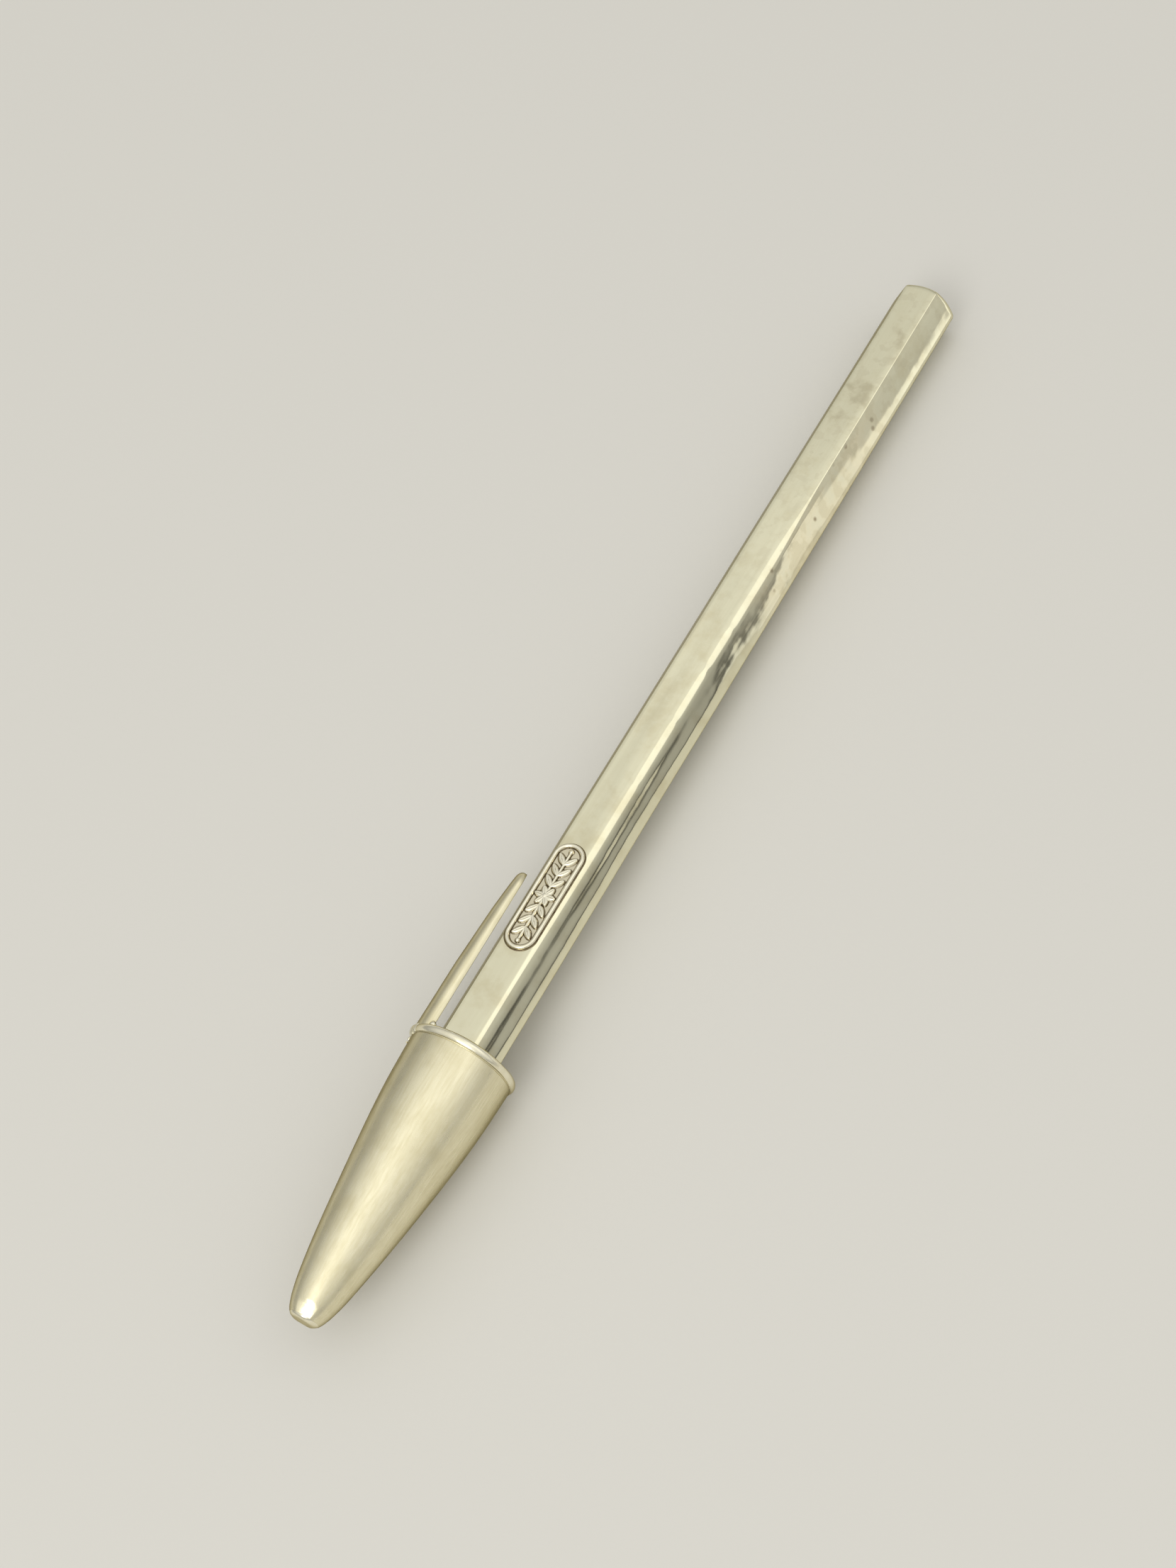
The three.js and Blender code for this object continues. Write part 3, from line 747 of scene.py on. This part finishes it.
barrel = {
    "front": 22.45,
    "rear": 148.8,
    "acrossFlats": 7.25,
    "edgeRadius": 0.5,
    "farRadius": 0.06,  # the edge of the top flat on the clip's side
    "ridgeWidth": 0.88,  # narrow facet that polishing left along the edge beside the camera
    "rearRidgeWidth": 0.12,
    "ridgeEnds": (104, 118),
    "ridgeStart": (44, 60),  # where it grows to its full width
    "ridgeByCap": 0.6,  # share of its width before that
    "ridgeWander": (9, 0.16),  # mm along the pen, share of its width
    "ridgeNicks": [  # station, share, half length
        (79.6, 0.3, 0.5), (87.3, 0.45, 0.6), (93.6, 0.3, 0.45), (70.4, 0.2, 0.5),
    ],
    "wall": 0.5,
    "boreEnd": 147.2,
    "boreCorner": 0.2,
    "flatCuts": 9,
    "longCuts": 300,
}
cos30, tan30 = math.cos(math.pi / 6), math.tan(math.pi / 6)


# A hexagonal bar along the pen with a flat on top and rounded long edges
def hexagonalBar(bm, front, end, acrossFlats, edgeRadius, ridgeWidth, longCuts=0):
    corner = acrossFlats / 2 / cos30
    turn = Matrix.Rotation(math.pi / 2, 4, "Y")
    made = bmesh.ops.create_cone(
        bm, cap_ends=True, segments=6, radius1=corner * mm, radius2=corner * mm,
        depth=(end - front) * mm, matrix=Matrix.Translation(penPoint((front + end) / 2)) @ turn,
    )["verts"]
    if max(abs(v.co.y) for v in made) < 0.99 * corner * mm:  # no flat on top yet
        bmesh.ops.rotate(bm, verts=made, cent=penPoint(0), matrix=Matrix.Rotation(math.pi / 6, 3, "X"))

    def reachAlong(edge):
        return abs(edge.verts[0].co.x - edge.verts[1].co.x)
    longEdges = [e for e in {e for v in made for e in v.link_edges} if reachAlong(e) > 0.1 * mm]
    upper = [e for e in longEdges if e.verts[0].co.z > axisHeight + acrossFlats / 4 * mm]
    ridge = [e for e in upper if e.verts[0].co.y < -0.1 * mm]
    far = [e for e in upper if e.verts[0].co.y > 0.1 * mm]
    others = [e for e in longEdges if e not in ridge + far]
    facet = bevelEdges(bm, ridge, ridgeWidth / 2 / cos30, 1)["edges"]
    bevelEdges(bm, [e for e in facet if reachAlong(e) > 0.1 * mm], 0.12 * ridgeWidth, 3)
    bevelEdges(bm, far, barrel["farRadius"] * tan30, 3)
    bevelled = bevelEdges(bm, others, edgeRadius * tan30, 6)["verts"]
    faces = {f for v in bevelled for f in v.link_faces}
    edges = {e for f in faces for e in f.edges}
    flatEdges = [e for e in edges if e.calc_length() > 1.5 * mm and reachAlong(e) < 0.01 * mm]
    bmesh.ops.subdivide_edges(bm, edges=flatEdges, cuts=barrel["flatCuts"], use_grid_fill=True)
    if longCuts:
        faces = {f for v in bm.verts for f in v.link_faces if abs(f.normal.x) < 0.5}
        edges = {e for f in faces for e in f.edges}
        longEdges = [e for e in edges if abs(reachAlong(e) - (end - front) * mm) < 0.01 * mm]
        bmesh.ops.subdivide_edges(bm, edges=longEdges, cuts=longCuts, use_grid_fill=True)


# How far a value has come from one end to the other, and the same with soft ends
def progress(value, begin, end):
    share = min(1.0, max(0.0, (value - begin) / (end - begin)))
    return share, share * share * (3 - 2 * share)


# The facet wanders along the pen and nearly vanishes towards the rear
def narrowRidge(bm):
    flat = barrel["acrossFlats"] / 2
    corner = penPoint(0, -flat * tan30, flat)
    reach = (0.5 / cos30 + 0.13) * barrel["ridgeWidth"] * mm  # the facet and its two bevels
    least = barrel["rearRidgeWidth"] / barrel["ridgeWidth"]
    length, amount = barrel["ridgeWander"]
    for vert in bm.verts:
        offset = Vector((0, vert.co.y - corner.y, vert.co.z - corner.z))
        if offset.length > reach:
            continue
        station = stationAndRadius(vert)[0]
        gone, goneSoftly = progress(station, *barrel["ridgeEnds"])
        grown = progress(station, *barrel["ridgeStart"])[1]
        share = 1 - (1 - least) * goneSoftly
        share *= 1 - amount * (0.5 + noise.noise(Vector((station / length, 3.1, 0.0)))) * (1 - gone)
        share *= barrel["ridgeByCap"] + (1 - barrel["ridgeByCap"]) * grown
        for nick, depth, half in barrel["ridgeNicks"]:
            share *= 1 - depth * math.exp(-((station - nick) / half) ** 2)
        vert.co = Vector((vert.co.x, corner.y, corner.z)) + offset * share


def facesAt(bm, station, reach):
    return [f for f in bm.faces if all(abs(stationAndRadius(v)[0] - station) < reach for v in f.verts)]


def makeBarrelTube():
    bm = bmesh.new()
    front, across, thin = barrel["front"], barrel["acrossFlats"], barrel["boreCorner"]
    hexagonalBar(bm, front, barrel["rear"], across, barrel["edgeRadius"], barrel["ridgeWidth"], barrel["longCuts"])
    narrowRidge(bm)
    handMade(bm, wave=6, depth=0.035, seed=4, stretch=3)
    outerEnd = facesAt(bm, front, 0.08)
    hexagonalBar(bm, front + 1, barrel["boreEnd"], across - 2 * barrel["wall"], thin, thin)
    boreEnd = facesAt(bm, front + 1, 0.001)  # 1 mm in, so that the two rings have a clear order for the bridge
    boreRing = [v for f in boreEnd for v in f.verts]
    rims = [e for f in outerEnd + boreEnd for e in f.edges]
    bmesh.ops.delete(bm, geom=outerEnd + boreEnd, context="FACES_ONLY")
    bmesh.ops.bridge_loops(bm, edges=rims)
    bmesh.ops.translate(bm, verts=boreRing, vec=(-1 * mm, 0, 0))
    finishPiece("barrelTube", bm, "barrel", "polished_silver", polishedSilver, "barrel_tube")


makeBarrelTube()

print("badge")

badge = {
    "station": 53.25,
    "across": 0.15,
    "length": 14.4,
    "width": 3.9,
    "plate": 0.1,
    "border": 0.56,  # width of the raised border
    "borderHeight": 0.32,
    "reliefHeight": 0.31,
    "petals": 6,
    "petalLength": 1.36,
    "leafLength": 1.75,
    "leafWidth": 0.84,
    "leafDegrees": 42,
    "leafStations": (1.25, 2.75, 4.25),
    "vein": (0.045, 0.25),  # half its width, share of the height
    "pearl": 0.42,  # radius
    "bud": 0.3,
    "stem": 0.19,  # half its width
    "stemEnds": (0.6, 6.1),
    "hollowReach": 0.16,  # mm round a place, to see how deep it lies
}


def roundedRise(share):
    return np.sqrt(np.clip(1 - share ** 2, 0, 1))


# Height of one leaf that starts at (x, y) and runs at an angle, with a groove along its vein
def leafHeight(px, py, x, y, degrees, length):
    turn = math.radians(degrees)
    along = ((px - x) * math.cos(turn) + (py - y) * math.sin(turn)) / length
    out = -(px - x) * math.sin(turn) + (py - y) * math.cos(turn)
    swell = np.clip(4 * along * (1 - along), 0, 1) ** 0.75 * badge["leafWidth"] / 2
    rise = roundedRise(out / np.maximum(swell, 1e-4)) * np.minimum(1, swell / 0.12)
    veinWidth, veinDepth = badge["vein"]
    groove = veinDepth * np.exp(-(out / veinWidth) ** 2)
    return np.where((along > 0) & (along < 1), badge["reliefHeight"] * rise * (1 - groove), 0)


# Height over the badge's field: the rounded border, a rosette and a leafy sprig on each side
def badgeHeight(px, py):
    half, border, relief = badge["width"] / 2, badge["border"] / 2, badge["reliefHeight"]
    reach = badge["length"] / 2 - half
    fromSpine = np.hypot(np.maximum(np.abs(px) - reach, 0), py)
    shapes = [
        badge["borderHeight"] * roundedRise((fromSpine - half + border) / border),
        1.1 * relief * roundedRise(np.hypot(px, py) / badge["pearl"]),
    ]
    for petal in range(badge["petals"]):
        shapes.append(leafHeight(px, py, 0, 0, 30 + petal * 360 / badge["petals"], badge["petalLength"]))
    stem = 0.8 * relief * roundedRise(py / badge["stem"])
    begin, end = badge["stemEnds"]
    for side in (-1, 1):
        shapes.append(np.where((side * px > begin) & (side * px < end), stem, 0))
        shapes.append(1.1 * relief * roundedRise(np.hypot(px - side * end, py) / badge["bud"]))
        for station in badge["leafStations"]:
            for lean in (-badge["leafDegrees"], badge["leafDegrees"]):
                degrees = lean if side > 0 else 180 - lean
                shapes.append(leafHeight(px, py, side * station, 0, degrees, badge["leafLength"]))
    return np.maximum.reduce(shapes)


# A grid drawn out to the badge's round-ended outline and raised by its relief, with a skirt down to the barrel.
# Attributes: "hollow" is how many mm a place lies below what is round it, "raised" its share of the relief's height.
def makeBadge():
    bm = bmesh.new()
    bmesh.ops.create_grid(bm, x_segments=300, y_segments=72, size=0.5)
    hollowLayer = bm.verts.layers.float.new("hollow")
    raisedLayer = bm.verts.layers.float.new("raised")
    half = badge["width"] / 2
    reach = badge["length"] / 2 - half
    verts = list(bm.verts)
    share = np.array([vert.co[:2] for vert in verts]) * 2
    path = share[:, 0] * (reach + half * math.pi / 2)
    turn = np.clip((np.abs(path) - reach) / half, 0, math.pi / 2)
    px = np.sign(path) * (np.minimum(np.abs(path), reach) + half * np.sin(turn))
    py = share[:, 1] * half * np.cos(turn)
    height = badgeHeight(px, py)
    near = badge["hollowReach"]
    around = [math.tau * step / 8 for step in range(8)]
    hollow = sum(badgeHeight(px + near * math.cos(a), py + near * math.sin(a)) for a in around) / 8 - height
    base = barrel["acrossFlats"] / 2
    for vert, x, y, rise, deep in zip(verts, px, py, height, hollow):
        vert.co = penPoint(badge["station"] + x, badge["across"] + y, base + badge["plate"] + rise)
        vert[hollowLayer] = deep
        vert[raisedLayer] = min(1.0, rise / badge["reliefHeight"])
    skirt = bmesh.ops.extrude_edge_only(bm, edges=[edge for edge in bm.edges if edge.is_boundary])["geom"]
    for vert in (v for v in skirt if isinstance(v, bmesh.types.BMVert)):
        vert.co.z = axisHeight + (base - 0.03) * mm
        vert[hollowLayer] = 0.03
    bmesh.ops.remove_doubles(bm, verts=bm.verts, dist=1e-7)
    bmesh.ops.holes_fill(bm, edges=[edge for edge in bm.edges if edge.is_boundary])
    finishPiece("badgePlaque", bm, "barrel", "cast_silver", castSilver, "badge", sharpOver=60)


# Grey solder and oxide that stayed in the corner round the badge
def makeBadgeSolder():
    half, reach = badge["width"] / 2, (badge["length"] - badge["width"]) / 2
    bm = bmesh.new()
    section = [(-0.1, -0.02), (-0.1, 0.06), (0.02, 0.05), (0.11, 0.012), (0.13, -0.02)]  # (out from the badge, up)
    turn = Matrix.Rotation(0.01, 3, "Z")  # so that no point lies between the two ends
    verts = [bm.verts.new(turn @ Vector((half + out, 0, up))) for out, up in section]
    edges = [bm.edges.new(pair) for pair in zip(verts, verts[1:] + verts[:1])]
    bmesh.ops.spin(bm, geom=verts + edges, cent=(0, 0, 0), axis=(0, 0, 1), angle=math.tau, steps=64, use_merge=True)
    bmesh.ops.remove_doubles(bm, verts=bm.verts, dist=1e-5)
    for vert in bm.verts:
        x, y, up = vert.co
        side = math.copysign(reach, x)
        vert.co = penPoint(badge["station"] + x + side, badge["across"] + y, barrel["acrossFlats"] / 2 + up)
    finishPiece("badgeSolder", bm, "barrel", "cast_silver", oxide)


makeBadge()
makeBadgeSolder()

rear = {
    "front": 148.8,
    "straightEnd": 149.0,
    "dome": [  # station, share of the section
        (149.3, 0.999), (149.5, 0.992), (149.68, 0.976), (149.82, 0.946), (149.91, 0.9),
        (149.96, 0.82), (149.98, 0.7), (149.99, 0.5), (150.0, 0.2),
    ],
    "filedCorners": 0.34,  # mm, how far the corners of the rim stay behind
}


# The closed rear end: a short hexagon that closes in a low dome, one ring after another
def makeRearPlate():
    bm = bmesh.new()
    across, straightEnd = barrel["acrossFlats"], rear["straightEnd"]
    hexagonalBar(bm, rear["front"], straightEnd, across, barrel["edgeRadius"], barrel["rearRidgeWidth"])
    endX = penPoint(straightEnd).x
    end = max((f for f in bm.faces if f.calc_center_median().x > endX - 0.01 * mm), key=lambda f: f.calc_area())
    before = 1.0
    for station, share in rear["dome"]:
        covered = end
        raised = bmesh.ops.extrude_face_region(bm, geom=[end])["geom"]
        end = next(f for f in raised if isinstance(f, bmesh.types.BMFace))
        bmesh.ops.delete(bm, geom=[covered], context="FACES_ONLY")
        for vert in end.verts:
            scaleRadius(vert, share / before)
            corner = (stationAndRadius(vert)[1] / share / (across / 2) - 1) / (1 / cos30 - 1)
            begun = min(1.0, (station - straightEnd) / 0.5)
            vert.co.x = penPoint(station - rear["filedCorners"] * corner * begun * share * share).x
        before = share
    finishPiece("rearPlate", bm, "barrel", "polished_silver", polishedSilver, "rear_plate")


# Brings the vertices of a turned piece at one radius, between two stations, to a hexagon with rounded corners
def toHexagon(bm, radius, fromStation, toStation, acrossFlats, cornerRadius):
    for vert in bm.verts:
        station, now = stationAndRadius(vert)
        if abs(now - radius) < 0.01 and fromStation - 0.01 < station < toStation + 0.01:
            fromFlat = math.atan2(vert.co.z - axisHeight, vert.co.y) % (math.pi / 3) - math.pi / 6
            scaleRadius(vert, min(acrossFlats / 2 / math.cos(fromFlat), cornerRadius) / now)


bush = {
    "front": 22.45, "rear": 29.95, "hole": 2.725, "chamfer": 0.15,
    "blank": 3.3,  # radius before its hexagon is cut
    "acrossFlats": 6.15, "corner": 3.42,
}


def makeFrontBush():
    front, rearEnd, hole, blank = bush["front"], bush["rear"], bush["hole"], bush["blank"]
    bm = turnedBody([(front, hole), (front, blank), (rearEnd, blank), (rearEnd, hole)], 120)
    toHexagon(bm, blank, front, rearEnd, bush["acrossFlats"], bush["corner"])
    for station in (front, rearEnd):
        roundRing(bm, station, hole, size=bush["chamfer"], segments=1)
    finishPiece("frontBush", bm, "barrel", "brass", turnedBrass, "front_bush", sharpOver=25)


makeRearPlate()
makeFrontBush()

print("cap liner")

liner = {
    "front": 21.65, "shoulder": 22.45, "rear": 32.4, "hole": 3.165,
    "blank": 3.9,  # radius of its bore before that is a hexagon
    "acrossFlats": 7.37, "corner": 4.18,
    "space": 0.08,  # between it and the cap
}


# A sleeve with a hexagonal bore, a flange that stops the barrel, and a lead-in at its mouth
def makeCapLiner():
    inwards = cap["wall"] + liner["space"]
    outline = [(liner["front"], liner["hole"])]
    for step in range(13):
        station = liner["front"] + (liner["rear"] - liner["front"]) * step / 12
        outline.append((station, capLineRadius(station) - inwards))
    bore = liner["blank"]
    outline += [(liner["rear"], bore), (liner["shoulder"], bore), (liner["shoulder"], liner["hole"])]
    bm = turnedBody(outline, 120)
    roundRing(bm, liner["rear"], capLineRadius(liner["rear"]) - inwards, size=0.15)
    toHexagon(bm, bore, liner["shoulder"], liner["rear"], liner["acrossFlats"], liner["corner"])
    finishPiece("capLiner", bm, "liner", "ivory_plastic", ivoryPlastic, "cap_liner", sharpOver=30)


makeCapLiner()

print("ink insert")

insert = {
    "ball": 5.55, "ballRadius": 0.5,
    "socketFront": 5.25, "socketRear": 13.75, "shank": 1.15,
    "holderFront": 9.25, "holderRear": 29.45, "base": 3.015, "spigot": 2.665,
    "tubeFront": 13.8, "tubeRear": 137.9, "tube": 1.5, "bore": 1.0, "inkRear": 125.9,
}


def makeWritingBall():
    bm = bmesh.new()
    place = Matrix.Translation(penPoint(insert["ball"]))
    bmesh.ops.create_icosphere(bm, subdivisions=5, radius=insert["ballRadius"] * mm, matrix=place)
    handMade(bm, wave=0.2, depth=0.0015, seed=1)
    finishPiece("writingBall", bm, "ball", "tungsten_carbide", groundCarbide, "writing_ball")


# A turned cone with a rolled lip, a shoulder and a groove, and the ball's cup inside
def makePointSocket():
    front, rearEnd, shank, ball = insert["socketFront"], insert["socketRear"], insert["shank"], insert["ball"]
    outline = [
        (front, 0.461), (front - 0.01, 0.51), (front + 0.05, 0.56), (front + 0.5, 0.62),
        (front + 1.2, 0.72), (front + 1.26, 0.79), (front + 2.5, 1.12), (front + 2.7, shank),
        (front + 3.6, shank), (front + 3.66, shank - 0.06), (front + 3.9, shank - 0.06), (front + 3.96, shank),
        (rearEnd, shank), (rearEnd, 0.25), (ball + 0.49, 0.25),
        (ball + 0.4, 0.378), (ball + 0.2, 0.512), (ball, 0.55), (ball - 0.2, 0.512),
    ]
    bm = turnedBody(outline, 72)
    finishPiece("pointSocket", bm, "insert", "nickel_silver", turnedNickelSilver, "point_socket", sharpOver=28)


# A moulded cone with a soft front, two rings before its shoulder and a plug that stands in the bush
def makePointHolder():
    front, rearEnd, base, spigot = insert["holderFront"], insert["holderRear"], insert["base"], insert["spigot"]
    outline = [
        (front, 1.2), (front, 1.45), (front + 0.15, 1.6), (18.9, 2.72), (19.0, 2.66), (19.2, 2.66), (19.3, 2.76),
        (19.7, 2.8), (19.8, 2.74), (20.0, 2.74), (20.1, 2.85), (21.45, base), (22.35, base), (22.45, base - 0.08),
        (22.45, spigot), (rearEnd - 0.4, spigot), (rearEnd, spigot - 0.25),
        (rearEnd, 1.55), (13.75, 1.55), (13.75, 1.2),
    ]
    bm = turnedBody(outline, 96)
    finishPiece("pointHolder", bm, "insert", "black_plastic", blackPlastic, "point_holder", sharpOver=30)


def makeInkTube():
    front, rearEnd, outer, inner = insert["tubeFront"], insert["tubeRear"], insert["tube"], insert["bore"]
    outline = [
        (front, inner), (front, outer), (rearEnd - 0.08, outer), (rearEnd, outer - 0.08),
        (rearEnd, inner + 0.08), (rearEnd - 0.08, inner),
    ]
    bm = turnedBody(outline, 48)
    finishPiece("inkTube", bm, "insert", "clear_plastic", milkyPlastic, "ink_tube")


# The ink ends in a hollow meniscus that climbs the tube's wall
def makeInkColumn():
    front, rearEnd, radius = insert["tubeFront"], insert["inkRear"], insert["bore"] - 0.05
    outline = [
        (front, 0), (front, radius), (rearEnd, radius), (rearEnd - 0.3, 0.8 * radius),
        (rearEnd - 0.55, 0.5 * radius), (rearEnd - 0.65, 0),
    ]
    bm = turnedBody(outline, 40, closed=False)
    finishPiece("inkColumn", bm, "insert", "black_ink", blackInk, "ink_column")


makeWritingBall()
makePointSocket()
makePointHolder()
makeInkTube()
makeInkColumn()

print("finish")
